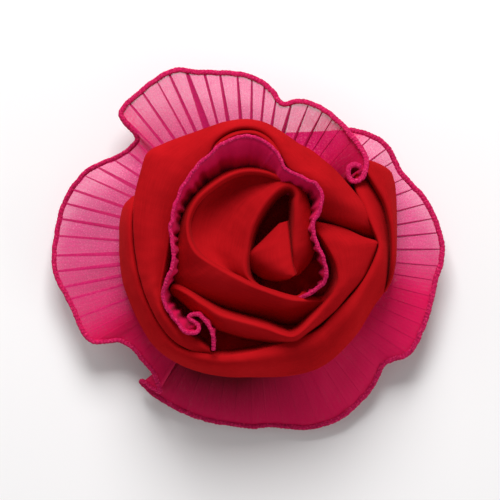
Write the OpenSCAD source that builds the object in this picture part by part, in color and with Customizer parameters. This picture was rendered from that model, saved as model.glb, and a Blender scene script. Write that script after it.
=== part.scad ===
// Fabric rose hair clip: a rolled satin rose with a pleated organza ruffle, sewn to a backing
// that is glued and strapped to a spring-loaded alligator clip.
// Millimetres, +Z up, with the flower's face up. The origin is on the flat face that the clip
// rests on, under the middle of the backing. The clip runs along X, with its finger tabs at +X.

/* [Rose] */
// Height of the rolled bud above the foundation disc
bud_h = 31; // [24:0.5:38]
// Radius of the bud at its open top
bud_r = 12.5; // [9:0.5:15]
// Free space between the bud and the first turn of satin
bud_gap = 3; // [1.5:0.5:5]
// Thickness of the satin strip, which is folded double and puffs out
strip_t = 3.2; // [2:0.2:4.4]
// Height of the strip's fold above the foundation disc on the first turn
turn_h = 29.5; // [22:0.5:36]
// Height that the fold loses from one turn to the next
turn_drop = 3.2; // [1:0.1:4.5]
// Free space between one turn of satin and the next
turn_gap = 3; // [1.8:0.1:5]
// Extra space that the inner ruffle takes between the first two turns
ruffle_room = 2.6; // [2.2:0.1:6]
// How far the fold leans out past the strip's sewn edge
turn_lean = 7; // [2:0.5:12]
// How far the bud sits off the middle of the backing
bud_off = 4; // [0:0.5:5]
// Direction in which the strip passes from each turn to the next, away from the bud
roll_angle = 225; // [0:5:355]

/* [Ruffle] */
// Thickness of the pleated organza
ruffle_t = 0.8; // [0.5:0.1:1.5]
// Diameter of the overlocked edging
edging_d = 1.8; // [1:0.1:2.6]
// Height of the inner ruffle's edging above the first turn's fold
inner_rise = 1.2; // [0.4:0.2:4]
// Mean radius of the outer ruffle's rim
rim_r = 55; // [48:0.5:66]
// Height of the outer ruffle's rim above the floor, on average
rim_z = 9.5; // [8.5:0.5:16]
// Strength of the waves along the rim, 1 being the natural drape
rim_wave = 1; // [0.5:0.05:1.2]
// Height between the two ends of the outer ruffle where they lap
lap_z = 3.4; // [2.6:0.2:6]
// Width of the ruffle's sewn edge, which lies on the foundation disc's rim
seam_w = 3; // [2:0.5:5]

/* [Backing] */
// Thickness of the stiff foundation disc under the rose
foundation_t = 1.2; // [0.8:0.1:2]
// Thickness of the felt backing
felt_t = 1.5; // [1:0.1:3]
// How far the felt backing stops short of the foundation disc's rim
felt_inset = 3; // [1:0.5:6]
// Thickness of the glue between the felt and the clip
glue_t = 0.4; // [0.2:0.1:1]
// Thickness of the felt strap that ties the clip's upper arm down
strap_t = 1; // [0.6:0.1:1.2]
// Width of that strap along the clip
strap_w = 8; // [5:0.5:10]
// Length of the strap across the clip, end to end
strap_l = 34; // [24:1:42]
// Number of stitches round the felt backing
stitch_count = 20; // [8:1:28]
// Diameter of the sewing thread
thread_d = 0.5; // [0.3:0.1:0.8]

/* [Clip] */
// Thickness of the sheet steel
sheet_t = 0.7; // [0.5:0.05:0.9]
// Width of the upper arm
arm_w = 10; // [8.5:0.5:13]
// Length from the pivot pin to the jaw's tip
jaw_l = 41; // [34:1:48]
// Length from the pivot pin to the end of the finger tabs
tab_l = 19; // [15:1:22]
// Distance from the pivot pin to the axis of the rose, along the clip
pin_x = 12; // [8:0.5:16]
// Diameter of the pivot pin
pin_d = 1.5; // [1.2:0.1:1.8]
// Diameter of the pivot pin's riveted heads
pin_head_d = 2.4; // [2:0.1:3]
// Diameter of the spring's wire
wire_d = 0.6; // [0.4:0.05:0.7]
// Number of whole turns in the spring
spring_turns = 4; // [3:1:5]
// Height of the upper arm's underside above the floor
arm_z = 9.3; // [8.8:0.1:11]
// Number of teeth on each side of the lower jaw
tooth_count = 12; // [8:1:16]

/* [Hidden] */

satin_red = [0.70, 0.03, 0.05];
organza_pink = [0.88, 0.25, 0.52];
edging_pink = [0.80, 0.05, 0.33];
felt_red = [0.42, 0.03, 0.06];
steel = [0.75, 0.76, 0.78];

part_gap = 0.15; // play beside the moving sheet parts
pin_play = 0.05; // radial clearance of the pin in the moving jaw
soft_gap = 0.3;  // room between soft pieces that don't touch

// ---- Clip ----
pin_z = arm_z - 2.3;                          // height of the pivot pin
ear_r = 1.9;                                  // lobe of the jaw's ear round the pin
arm_ear_r = 2.4;                              // lobe of the upper arm's ear round the pin
arm_ear_w = 8;                                // width of the arm's ear where it leaves the arm
jaw_w = arm_w - 2 * (sheet_t + part_gap);     // the jaw's ears fit between the arm's ears
jaw_tip_x = pin_x - jaw_l;
tab_end_x = pin_x + tab_l;
arm_nose_x = jaw_tip_x - 1;                   // the upper arm reaches just past the jaw
flat_front_x = jaw_tip_x + 0.27 * jaw_l;      // the flat stretch that the clip rests on
flat_back_x = pin_x - 9;
waist_z = pin_z - 3.4;                        // underside of the jaw at the pin
bite_gap = 0.2;                               // between the front teeth and the upper arm
tooth_front_z = arm_z - bite_gap;
tooth_back_z = arm_z - 2.7;
tooth_front_x = jaw_tip_x + 1.4;
tooth_back_x = pin_x - 8;
tooth_depth = 0.8;

// Underside of the jaw from its tip to the end of its tab, in the XZ plane.
jaw_line = [[jaw_tip_x, arm_z - 1.5], [jaw_tip_x + 0.09 * jaw_l, 3.2], [flat_front_x, 0],
            [flat_back_x, 0], [pin_x - 4.5, waist_z], [pin_x + 4, waist_z], [tab_end_x, 0]];

// ---- Spring ----
coil_r = pin_d / 2 + 0.45 + wire_d / 2;       // centreline radius of the coil
coil_half_l = jaw_w / 2 - sheet_t - wire_d - 0.25;
leg_x = tab_l * 0.6;                          // how far the spring's legs reach from the pin
wire_sides = 8;
steps_per_turn = 16;

// ---- Backing ----
arm_top_z = arm_z + sheet_t;
felt_z = arm_top_z + glue_t;
foundation_z = felt_z + felt_t;
rose_z = foundation_z + foundation_t;         // the rose stands on the foundation disc here
strap_x = -9;                                 // middle of the strap along the clip

// ---- Rose ----
turn_count = 4;
growth = strip_t + turn_gap;                  // the roll's radius grows by this in one turn
function fold_r(k) = bud_r + bud_gap + (k - 1) * growth + (k > 1 ? ruffle_room : 0);
function fold_h(k) = turn_h - (k - 1) * turn_drop;
turn_slit = 8;                                // degrees between a turn's start and its end
bud_at = -bud_off * [cos(roll_angle), sin(roll_angle)];
function turn_at(k) = bud_at * (turn_count - k) / (turn_count - 1); // each turn's axis
roll_r = fold_r(turn_count) - turn_lean + strip_t; // the roll's sewn edge
foundation_r = roll_r + soft_gap + seam_w;
felt_r = foundation_r - felt_inset;
bud_wall = 2.2;                               // thickness of the bud's rolled wall
bud_floor_h = 9;                              // height of the bottom of the bud's hollow
bud_foot_r = fold_r(1) - turn_lean - 0.6;     // the bud's foot, inside the first turn's
bud_hollow_r = bud_foot_r + (bud_r - bud_foot_r) * bud_floor_h / bud_h - bud_wall;
bud_play = 0.8;                               // room round the tongue in the bud's hollow
inner_ruffle_r = fold_r(1) + strip_t + 1.2;   // inside radius of the inner ruffle at the fold

// ---- Outer ruffle: angle, radius over the mean and height over the mean, along the rim ----
rim_points = [[38, -6.6, 2.6], [50, -6.4, 3.0], [62, -6.8, 2.2], [76, -6.4, 0.0], [88, -2.4, -3.0],
              [100, 0.8, -2.0], [112, 4.0, 1.0], [122, 4.8, 3.6], [131, 2.6, 4.6], [139, -6.2, 3.0],
              [147, -4.4, 0.0], [156, 0.6, -3.0], [167, 3.0, -4.0], [179, 4.2, -2.0],
              [191, 4.0, 0.5], [202, 1.8, 2.4], [212, 0.0, 2.6], [220, -8.2, -0.5],
              [230, -4.4, -4.5], [244, -2.2, -5.8], [260, -1.4, -4.6], [276, -0.4, -5.4],
              [292, 3.2, -5.8], [306, 2.4, -3.4], [319, -1.4, 0.0], [330, 3.4, 2.4], [345, 3.4, 3.0],
              [360, 4.2, 1.4], [375, 1.4, -0.6], [390, -2.4, -1.6], [403, -3.6, -2.6],
              [416, -7.0, -3.4]];
rim_steps = 4;                                // rings between two points of the rim
function last(list) = list[len(list) - 1];

// A smooth curve through the points p, at point i and the fraction u towards the next one.
function through(p, i, u) =
    let (a = p[max(i - 1, 0)], b = p[i], c = p[min(i + 1, len(p) - 1)], d = p[min(i + 2, len(p) - 1)])
    0.5 * (2 * b + (c - a) * u + (2 * a - 5 * b + 4 * c - d) * u * u
           + (3 * b - a - 3 * c + d) * u * u * u);
function unit(v) = v / norm(v);
function flat(v) = [v[0], v[1], 0];

// Centreline of the rim's edging. The first end laps over the last one, so it lies higher.
function rim_at(q) =
    let (lap = lap_z * max(0, 1 - (q[0] - rim_points[0][0]) / 34))
    [(rim_r + rim_wave * q[1] - edging_d / 2) * cos(q[0]),
     (rim_r + rim_wave * q[1] - edging_d / 2) * sin(q[0]),
     rim_z + rim_wave * q[2] + lap];
rim_line = [for (i = [0:len(rim_points) - 2]) for (s = [0:rim_steps - 1])
                rim_at(through(rim_points, i, s / rim_steps)), rim_at(last(rim_points))];
rim_angles = [for (p = rim_line) atan2(p[1], p[0])];
root_lap_steps = 3 * rim_steps;
function root_lap(i) = lap_z * max(0, 1 - i / root_lap_steps);
roll_slope = turn_lean / (fold_h(turn_count) - strip_t / 2);
// The root follows the outside of the last turn, which leans out as it rises.
function root_at(i, r) = let (r2 = r + (root_lap(i) + ruffle_t) * roll_slope)
    [r2 * cos(rim_angles[i]), r2 * sin(rim_angles[i]), rose_z + ruffle_t / 2 + root_lap(i)];
function rim_tangent(i) = unit(rim_line[min(i + 1, len(rim_line) - 1)] - rim_line[max(i - 1, 0)]);
// The cloth stops at the edging, square to it.
function cloth_edge(i) =
    let (t = rim_tangent(i), d = root_at(i, roll_r) - rim_line[i], n = unit(d - (d * t) * t))
    rim_line[i] + n * (edging_d / 2 + 0.05);

// ---- Shared shapes ----
// Points at the left of an open line of 2D points, t away from it.
function left(v) = [-v[1], v[0]];
function beside(p, i, t) =
    let (a = left(unit(p[max(i, 1)] - p[max(i, 1) - 1])),
         b = left(unit(p[min(i + 1, len(p) - 1)] - p[min(i + 1, len(p) - 1) - 1])),
         n = unit(a + b))
    p[i] + n * t / (n * a);
module strip(p, t) {
    polygon(concat(p, [for (i = [len(p) - 1:-1:0]) beside(p, i, t)]));
}

// A shape drawn in the XZ plane, as thick as w and centred on y.
module across(w, y = 0) {
    translate([0, y + w / 2, 0]) rotate([90, 0, 0]) linear_extrude(w) children();
}

// A tube of n sides round the points of a path.
module tube(path, d, n) {
    ring = [for (i = [0:len(path) - 1])
        let (t = unit(path[min(i + 1, len(path) - 1)] - path[max(i - 1, 0)]),
             side = unit(cross(t, abs(t[2]) > 0.9 ? [1, 0, 0] : [0, 0, 1])),
             up = cross(side, t))
        for (k = [0:n - 1]) path[i] + d / 2 * (cos(360 * k / n) * side + sin(360 * k / n) * up)];
    loft(ring, len(path), n);
}

// A closed solid through rows of n points each, with flat ends.
module loft(points, rows, n) {
    sides = [for (i = [0:rows - 2]) for (k = [0:n - 1])
        [i * n + k, (i + 1) * n + k, (i + 1) * n + (k + 1) % n, i * n + (k + 1) % n]];
    ends = [[for (k = [0:n - 1]) k], [for (k = [n - 1:-1:0]) (rows - 1) * n + k]];
    polyhedron(points, concat(sides, ends), convexity = 8);
}

// Points of a round fold, from its right side over the top to its left side.
function fold_arc(x, z, r) = [for (a = [0:22.5:180]) [x + r * cos(a), z + r * sin(a)]];

// One turn of the roll, open where the strip passes on. The child is the strip's section.
module roll_turn(at) {
    translate([at[0], at[1], rose_z]) rotate(roll_angle + turn_slit / 2)
        rotate_extrude(angle = 360 - turn_slit, $fn = 96) children();
}

// ---- Clip ----
module clip_upper_arm() {
    color(steel) {
        translate([0, 0, arm_z]) linear_extrude(sheet_t) difference() {
            union() {
                translate([arm_nose_x + arm_w / 2, -arm_w / 2])
                    square([tab_end_x - arm_nose_x - arm_w / 2 - 3, arm_w]);
                translate([arm_nose_x + arm_w / 2, 0]) circle(d = arm_w, $fn = 64);
                translate([tab_end_x - 3, -arm_w / 2 + 3]) square([3, arm_w - 6]);
                for (side = [-1, 1])
                    translate([tab_end_x - 3, side * (arm_w / 2 - 3)]) circle(r = 3, $fn = 48);
            }
            translate([arm_nose_x + arm_w / 2, 0]) circle(d = 2.4, $fn = 32);
        }
        for (side = [-1, 1]) across(sheet_t, side * (arm_w - sheet_t) / 2) arm_ear();
    }
}

module arm_ear() {
    difference() {
        union() {
            polygon([[pin_x - arm_ear_w / 2, arm_z + sheet_t / 2], [pin_x - arm_ear_r, pin_z],
                     [pin_x + arm_ear_r, pin_z], [pin_x + arm_ear_w / 2, arm_z + sheet_t / 2]]);
            translate([pin_x, pin_z]) circle(r = arm_ear_r, $fn = 48);
        }
        translate([pin_x, pin_z]) circle(d = pin_d, $fn = 48);
    }
}

module clip_lower_jaw() {
    tab_flare_x = pin_x + 6;
    color(steel) {
        across(jaw_w) strip(jaw_line, sheet_t);
        // the finger tab is as wide as the upper arm behind the ears
        intersection() {
            across(arm_w) strip(jaw_line, sheet_t);
            linear_extrude(arm_z) tab_outline(tab_flare_x);
        }
        for (side = [-1, 1]) across(sheet_t, side * (jaw_w - sheet_t) / 2) jaw_side();
    }
}

// The tab's outline from above, with round corners.
module tab_outline(from_x) {
    translate([from_x, -arm_w / 2]) square([tab_end_x - from_x - 3, arm_w]);
    translate([tab_end_x - 3, -arm_w / 2 + 3]) square([3, arm_w - 6]);
    for (side = [-1, 1]) translate([tab_end_x - 3, side * (arm_w / 2 - 3)]) circle(r = 3, $fn = 48);
}

// One side of the jaw, with its teeth and its ear.
module jaw_side() {
    pitch = (tooth_back_x - tooth_front_x) / tooth_count;
    rise = (tooth_front_z - tooth_back_z) / tooth_count;
    teeth = [for (i = [0:tooth_count - 1])
        for (q = [[0, 0], [0.5, -tooth_depth]])
            [tooth_front_x + (i + q[0]) * pitch, tooth_front_z - (i + q[0]) * rise + q[1]]];
    difference() {
        union() {
            polygon(concat([for (i = [0:5]) jaw_line[i]],
                           [[pin_x + ear_r, pin_z], [pin_x - ear_r, pin_z],
                            [tooth_back_x, tooth_back_z]],
                           [for (i = [len(teeth) - 1:-1:0]) teeth[i]]));
            translate([pin_x, pin_z]) circle(r = ear_r, $fn = 48);
        }
        translate([pin_x, pin_z]) circle(d = pin_d + 2 * pin_play, $fn = 48);
    }
}

module clip_pin() {
    head_t = 0.5;
    color(steel) translate([pin_x, 0, pin_z]) rotate([90, 0, 0]) {
        cylinder(h = arm_w + 2 * head_t, d = pin_d, center = true, $fn = 48);
        for (side = [-1, 1]) translate([0, 0, side * (arm_w + head_t) / 2])
            cylinder(h = head_t, d = pin_head_d, center = true, $fn = 48);
    }
}

// The legs press the two finger tabs apart, and so close the jaw.
module clip_spring() {
    sweep = spring_turns * 360 + 180;
    count = round(sweep / 360 * steps_per_turn);
    tab_slope = waist_z / (tab_l - 4);
    upper_leg = [leg_x, -coil_half_l, arm_z - pin_z - wire_d / 2 - 0.02];
    leg_gap = 0.2; // lifts the leg clear of the bend where the tab starts
    lower_leg = [leg_x, coil_half_l,
                 waist_z - (leg_x - 4) * tab_slope + sheet_t + wire_d / 2 + leg_gap - pin_z];
    coil = [for (i = [0:count]) let (a = 90 + sweep * i / count)
        [coil_r * cos(a), coil_half_l * (2 * i / count - 1), coil_r * sin(a)]];
    color(steel) translate([pin_x, 0, pin_z])
        tube(concat([upper_leg], coil, [lower_leg]), wire_d, wire_sides);
}

// ---- Backing ----
module glue_pad() {
    glue_w = arm_w - 1.5;
    color([0.93, 0.91, 0.82]) translate([arm_nose_x + arm_w / 2, -glue_w / 2, arm_top_z])
        cube([pin_x + 4 - arm_nose_x - arm_w / 2, glue_w, glue_t]);
}

// Lies under the clip's upper arm, and is glued to the felt at both sides of it.
module felt_strap() {
    step_in = arm_w / 2 + 0.7;
    step_out = step_in + 0.9;
    low_z = arm_z - strap_t;
    high_z = felt_z - strap_t;
    line = [[-strap_l / 2, high_z], [-step_out, high_z], [-step_in, low_z],
            [step_in, low_z], [step_out, high_z], [strap_l / 2, high_z]];
    color(felt_red) translate([strap_x, 0, 0]) rotate([90, 0, 90])
        linear_extrude(strap_w, center = true) strip(line, strap_t);
}

module felt_backing() {
    color(felt_red) translate([0, 0, felt_z]) cylinder(h = felt_t, r = felt_r, $fn = 128);
}

// Short stitches on the felt's face, just inside its edge. None goes where the clip is glued.
module backing_stitches() {
    stitch_l = 3;
    inner_r = felt_r - stitch_l - 1;
    clip_side = arm_w / 2 + thread_d;
    color(edging_pink) translate([0, 0, felt_z - thread_d / 2])
        for (i = [0:stitch_count - 1]) let (a = 360 * (i + 0.5) / stitch_count)
            if (abs(inner_r * sin(a)) > clip_side)
                rotate(a) translate([inner_r, 0, 0]) rotate([0, 90, 0])
                    cylinder(h = stitch_l, d = thread_d, $fn = 24);
}

module foundation_disc() {
    color([0.2, 0.02, 0.04]) translate([0, 0, foundation_z])
        cylinder(h = foundation_t, r = foundation_r, $fn = 128);
}

// ---- Rose ----
// The strip's first, tightest turn, rolled into an open cone.
module satin_bud() {
    color(satin_red) translate([bud_at[0], bud_at[1], rose_z]) rotate_extrude($fn = 96) {
        polygon(concat([[0, 0], [bud_foot_r, 0]],
                       fold_arc(bud_r - bud_wall / 2, bud_h - bud_wall / 2, bud_wall / 2),
                       [[bud_hollow_r, bud_floor_h], [0, bud_floor_h]]));
    }
}

// The strip's folded end, which stands up in the bud's hollow as a point.
module satin_tongue() {
    foot_r = bud_hollow_r - bud_play;
    tongue_h = bud_h - bud_floor_h - 2.5;
    color(satin_red) translate([bud_at[0], bud_at[1], rose_z + bud_floor_h])
        cylinder(h = tongue_h, r1 = foot_r, r2 = 1.2, $fn = 48);
}

// The folded strip leans out, and its fold is round.
module satin_turn(k) {
    r = fold_r(k);
    color(satin_red) roll_turn(turn_at(k))
        polygon(concat([[r - turn_lean, 0], [r - turn_lean + strip_t, 0]],
                       fold_arc(r + strip_t / 2, fold_h(k) - strip_t / 2, strip_t / 2)));
}

// ---- Ruffle ----
module ruffle_inner() {
    r = inner_ruffle_r;
    top = turn_h + inner_rise;
    color(organza_pink) roll_turn(bud_at)
        polygon([[r - turn_lean, 0], [r - turn_lean + ruffle_t, 0], [r + ruffle_t, top], [r, top]]);
}

module ruffle_inner_edging() {
    color(edging_pink) roll_turn(bud_at)
        translate([inner_ruffle_r + ruffle_t / 2, turn_h + inner_rise + edging_d / 2])
            circle(d = edging_d, $fn = 32);
}

// The wavy collar round the rose, from its gathered root to its edging.
module ruffle_outer() {
    half = [0, 0, ruffle_t / 2];
    fall = 0.45; // share of the way out at which the cloth bends most
    sections = [for (i = [0:len(rim_line) - 1])
        let (r = root_at(i, roll_r + soft_gap), a = root_at(i, foundation_r + soft_gap),
             c = cloth_edge(i),
             b = flat(a + fall * (c - a)) + [0, 0, a[2] + (fall - 0.12) * (c[2] - a[2])])
        for (p = [r - half, a - half, b - half, c - half, c + half, b + half, a + half, r + half])
            p];
    color(organza_pink) loft(sections, len(rim_line), 8);
}

module ruffle_outer_edging() {
    color(edging_pink) tube(rim_line, edging_d, 8);
}

clip_upper_arm();
clip_lower_jaw();
clip_pin();
clip_spring();
glue_pad();
felt_strap();
felt_backing();
backing_stitches();
foundation_disc();
satin_bud();
satin_tongue();
satin_turn(1);  // satin_turn_1
satin_turn(2);  // satin_turn_2
satin_turn(3);  // satin_turn_3
satin_turn(4);  // satin_turn_4
ruffle_inner();
ruffle_inner_edging();
ruffle_outer();
ruffle_outer_edging();
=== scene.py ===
import math

import bmesh
import bpy
import numpy as np
from mathutils import Matrix, Vector, noise


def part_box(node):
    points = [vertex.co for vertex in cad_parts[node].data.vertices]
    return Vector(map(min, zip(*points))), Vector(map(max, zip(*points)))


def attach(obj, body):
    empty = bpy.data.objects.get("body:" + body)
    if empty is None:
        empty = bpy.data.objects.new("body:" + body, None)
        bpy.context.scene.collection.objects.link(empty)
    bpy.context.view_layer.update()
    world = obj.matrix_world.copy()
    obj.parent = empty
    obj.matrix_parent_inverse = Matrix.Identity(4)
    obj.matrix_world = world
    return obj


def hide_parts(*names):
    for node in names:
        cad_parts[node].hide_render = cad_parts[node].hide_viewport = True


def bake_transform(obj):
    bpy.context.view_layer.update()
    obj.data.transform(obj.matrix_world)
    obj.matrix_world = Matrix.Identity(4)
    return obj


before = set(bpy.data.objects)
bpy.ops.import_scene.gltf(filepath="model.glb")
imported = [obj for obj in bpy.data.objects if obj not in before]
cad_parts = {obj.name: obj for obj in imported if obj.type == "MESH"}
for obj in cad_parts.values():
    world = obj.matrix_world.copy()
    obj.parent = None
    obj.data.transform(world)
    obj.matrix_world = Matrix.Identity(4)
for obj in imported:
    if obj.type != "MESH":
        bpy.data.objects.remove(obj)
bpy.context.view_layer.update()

bl_info = {
    "name": "Flower hair clip",
    "version": (1, 0, 0),
    "blender": (4, 5, 0),
    "location": "View3D > Sidebar > Flower clip",
    "description": "Builds a rolled satin rose with organza ruffles round a packed alligator clip",
    "category": "Add Mesh",
}

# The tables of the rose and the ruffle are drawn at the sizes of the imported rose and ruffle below,
# in millimetres, with the heights above the table that the clip lies on.
DRAWN_ROSE_W = 81.5
DRAWN_RUFFLE_W = 118.0
DRAWN_ROSE_Z = 13.1
DRAWN_ROSE_H = 31.0
# How much of the tables' width the camera sees.
VIEW_W = 150.0


def size_of(node):
    low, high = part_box(node)
    return Vector(high) - Vector(low)


ROSE_MM = size_of("satin_turn_4").x / DRAWN_ROSE_W
RUFFLE_MM = size_of("ruffle_outer_edging").x / DRAWN_RUFFLE_W
ROSE_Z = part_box("satin_bud")[0][2]
HEIGHT_MM = size_of("satin_bud").z / DRAWN_ROSE_H

SATIN_T = 0.0003
STRAP_T = 0.001
STITCH_L = 0.003
WIRE_D = 0.0006

# How many points cross each part of the satin strip, which of them are on the crest of its fold
# and at the start of its face, and how high its creases are in the tables' millimetres.
WALL_N, FOLD_N, FACE_N, SKIRT_N = 7, 5, 13, 5
ACROSS = WALL_N + FOLD_N + FACE_N + SKIRT_N
CREST, FACE_START = 8, WALL_N + FOLD_N
CREASE = 0.24


def rose_point(x, y, z):
    """A point of the rose's tables, in metres."""
    return (x * ROSE_MM, y * ROSE_MM, ROSE_Z + (z - DRAWN_ROSE_Z) * HEIGHT_MM)


def ruffle_point(x, y, z):
    """A point of the outer ruffle's tables, in metres."""
    return (x * RUFFLE_MM, y * RUFFLE_MM, ROSE_Z + (z - DRAWN_ROSE_Z) * HEIGHT_MM)


# ---- Stations of the satin strip ----
# Each row is a place along the strip: the fold's x, y, z, the face's outer edge x, y, z, and how
# far the face bulges between them.
BUD_ROWS = [
    (13.8, -7.8, 34.4, 14.9, -7.5, 30.8, 0), (14, -3.6, 36.4, 18.3, -3.3, 32.8, 0.4),
    (14.1, 0.6, 38.4, 19.6, 0.6, 33.8, 0.5), (14.2, 5.4, 39.4, 19.2, 5.1, 34.8, 0.5),
    (14.4, 10.2, 40.4, 18.6, 9.9, 35.8, 0.4), (14.4, 14.2, 40.8, 17.9, 14.1, 35.8, 0.2),
    (14.6, 17.1, 41, 16.4, 17.9, 35.8, 0), (13.2, 19.2, 41, 14, 20.2, 36.3, 0),
    (10.8, 19.7, 41, 10.6, 21.4, 36.6, -0.1), (8.1, 18.4, 41, 6.4, 22.6, 36.8, -0.9),
    (5.4, 15.8, 41, 1.4, 23, 36.8, -2.5), (3, 12.5, 40.8, -3.8, 22.6, 36.8, -4.2),
    (0.9, 8.9, 40.6, -9.2, 20.2, 36.8, -5.3), (-0.6, 4.7, 40.4, -14, 16, 37, -5.5),
    (-1.5, 0.2, 40, -17.2, 10.6, 37.2, -5.3), (-1.9, -4.2, 39.4, -18, 4, 37.6, -4.2),
    (-1.2, -7.8, 38.6, -15.4, -1.6, 37.8, -2.7), (1.8, -10.4, 37.8, -8.6, -6, 37.4, -1.2),
    (6.4, -12.4, 37, 1, -10.6, 36.4, -0.4), (11.6, -14, 35.8, 10.6, -13.9, 34.8, 0),
    (18, -14.9, 34.4, 18.2, -15.6, 32.8, 0)]

TURN_1_ROWS = [
    (13.4, 19, 38.8, 14.2, 19.8, 33.8, 0), (11.4, 20.6, 39.8, 12, 21.8, 31.8, 0),
    (8.4, 22.2, 40.4, 8.8, 23.4, 30.8, 0), (4.4, 23.6, 40.8, 4.6, 25, 29.8, 0),
    (-1, 24, 41, -1.2, 25.4, 29.8, 0), (-6.2, 22.6, 41.2, -7, 24.2, 29.8, 0),
    (-11.2, 19.6, 41.2, -12.4, 21, 29.8, 0), (-15.6, 15.8, 41.2, -17.2, 17, 29.8, 0.1),
    (-18.2, 11.6, 41.2, -20.4, 12.2, 30.4, 0.1), (-19.2, 7.4, 41.4, -22, 7.4, 30.8, 0.2),
    (-18.4, 2.4, 41.6, -23.4, 1.2, 30.8, 0.5), (-15.4, -2, 41.6, -24.3, -5.4, 30.8, 0.8),
    (-9.8, -5.7, 41.4, -21.8, -11.4, 30.8, 1.1), (-3, -9.3, 41, -10.4, -16.6, 28.8, 0.9),
    (4.5, -12.6, 40.4, 1.6, -20.2, 26.3, 0.5), (12.6, -15, 39.2, 11.5, -22.6, 24.8, 0.1),
    (19, -15.5, 37.2, 18.6, -21.6, 24.8, 0), (24.5, -15.4, 34.8, 25, -18.6, 25.8, 0)]

TURN_2_ROWS = [
    (-24, -11.2, 34, -24.6, -12.4, 31, 0), (-21.6, -12, 36.5, -22.4, -14.2, 31, 0.1),
    (-18.6, -13.6, 37.6, -19.8, -16.4, 31, 0.3), (-14.4, -16.4, 38, -15.9, -19.8, 31, 0.4),
    (-9.3, -19.5, 38.2, -10.8, -23.4, 31, 0.5), (-3, -21.6, 38.2, -4.2, -25.8, 31, 0.5),
    (4.5, -23.7, 38.2, 3.9, -27.4, 31, 0.4), (9.6, -25.6, 38.2, 9.9, -28.4, 31, 0.3),
    (13, -26.2, 38.2, 14.1, -28.2, 31, 0.2), (16.2, -24.2, 38.4, 17.8, -24.8, 34, 0.3),
    (19.6, -20.6, 38.8, 22.1, -21.5, 34.6, 0.4), (23.2, -16.4, 39.2, 26.2, -17.7, 35.2, 0.5),
    (25.8, -13, 39.6, 30, -13.4, 35.2, 0.7), (27.2, -9.4, 40, 33.7, -9, 35, 0.9),
    (26.9, -5.2, 40.2, 36.6, -3.9, 35, 1.1), (25.2, -1, 40.2, 38.2, 0.9, 35, 1.2),
    (22.6, 3.2, 39.8, 38.6, 2.4, 34.8, 1.2), (20, 6.6, 38.6, 34, 4, 34, 0.8),
    (18, 9, 36, 28, 7, 31, 0.2)]

TURN_3_ROWS = [
    (-12, -30.4, 33, -11.4, -32.2, 30.5, 0), (-17.1, -27.3, 36, -17.6, -30.4, 33.5, 0.1),
    (-22.2, -23.1, 38, -22.8, -27.6, 35.5, 0.4), (-26.1, -17.7, 39, -27.4, -22.2, 35.5, 0.6),
    (-27.4, -12, 39.4, -30.8, -15.6, 36, 1), (-26.6, -6, 39.6, -33.2, -8.1, 36.5, 1.3),
    (-25.4, 0.9, 39.8, -34.8, 0.6, 36.5, 1.7), (-24.4, 7.5, 40.2, -35.4, 8.4, 36.5, 1.7),
    (-22.6, 14.1, 40.8, -34.8, 16.4, 35.5, 1.4), (-20, 19.5, 41.4, -33.2, 24, 34.5, 1.2),
    (-17.2, 23.6, 41.8, -31, 29.6, 33.5, 1), (-15, 26.2, 42, -26.8, 31.9, 33.5, 0.7),
    (-12.8, 29.6, 42, -20.4, 34.4, 34.5, 0.4), (-10.8, 33.2, 42, -13.6, 36.8, 35.5, 0.2),
    (-7.2, 35.8, 42, -7.4, 38.8, 36.5, 0.1), (-2.6, 37.3, 42, -1.8, 39.5, 36.5, 0.1),
    (2.4, 36.8, 42, 4.2, 38.6, 36.5, 0.1), (6.8, 34, 42, 9.8, 35.6, 35.5, 0.3),
    (9.8, 29.4, 42, 15.8, 31.7, 31.5, 0.5), (12.4, 24.8, 42, 21.6, 28, 31, 0.7),
    (16.8, 22.2, 42, 26.4, 23.8, 31.5, 0.8), (20.6, 18.7, 41.2, 30.6, 19, 32.5, 0.8),
    (21.8, 14.8, 39.4, 34.4, 13.8, 33, 0.8), (21.2, 12, 36.6, 36.4, 9.4, 32, 0.6),
    (20.8, 9.8, 33.4, 37.8, 5.6, 30, 0.3), (20.4, 8.2, 29.6, 38.4, 3.6, 27, 0.1),
    (20, 6, 27, 38, 0.4, 24.5, 0)]

TOP_LINING_ROWS = [
    (-12, 29.4, 40, -12.6, 30.2, 37, 0), (-10, 31.4, 42, -10.8, 32.4, 38, 0.1),
    (-6.4, 33.9, 42.6, -6.9, 35, 39, 0.2), (-2.4, 35.2, 42.6, -2.4, 36.3, 39, 0.2),
    (1.8, 35, 42.6, 2.4, 36.1, 39, 0.2), (5.4, 32.8, 42.6, 6.6, 33.9, 39, 0.2),
    (8.4, 29.2, 42.4, 9.8, 30, 38, 0.1), (10.2, 26.8, 40, 11.2, 27.2, 37, 0)]

POINT_ROWS = [
    (10.7, 8.6, 36.6, 9.2, 8.2, 35.6, 0), (11.1, 5.4, 37.2, 4, 3, 36, 0.4),
    (11.5, 2.2, 37.6, -0.6, -1.5, 35.6, 0.9), (11.8, -0.8, 38, -0.9, -3.9, 32.6, 1.3),
    (12.1, -3.2, 38.2, 0.7, -6.3, 30.6, 1.4), (12.4, -5, 38.4, 3.8, -8.5, 30, 1.2),
    (12.9, -6.6, 38.4, 7.7, -9.4, 30.6, 0.8), (13.3, -7.8, 38.2, 12, -8.7, 32.6, 0.2)]

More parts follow.
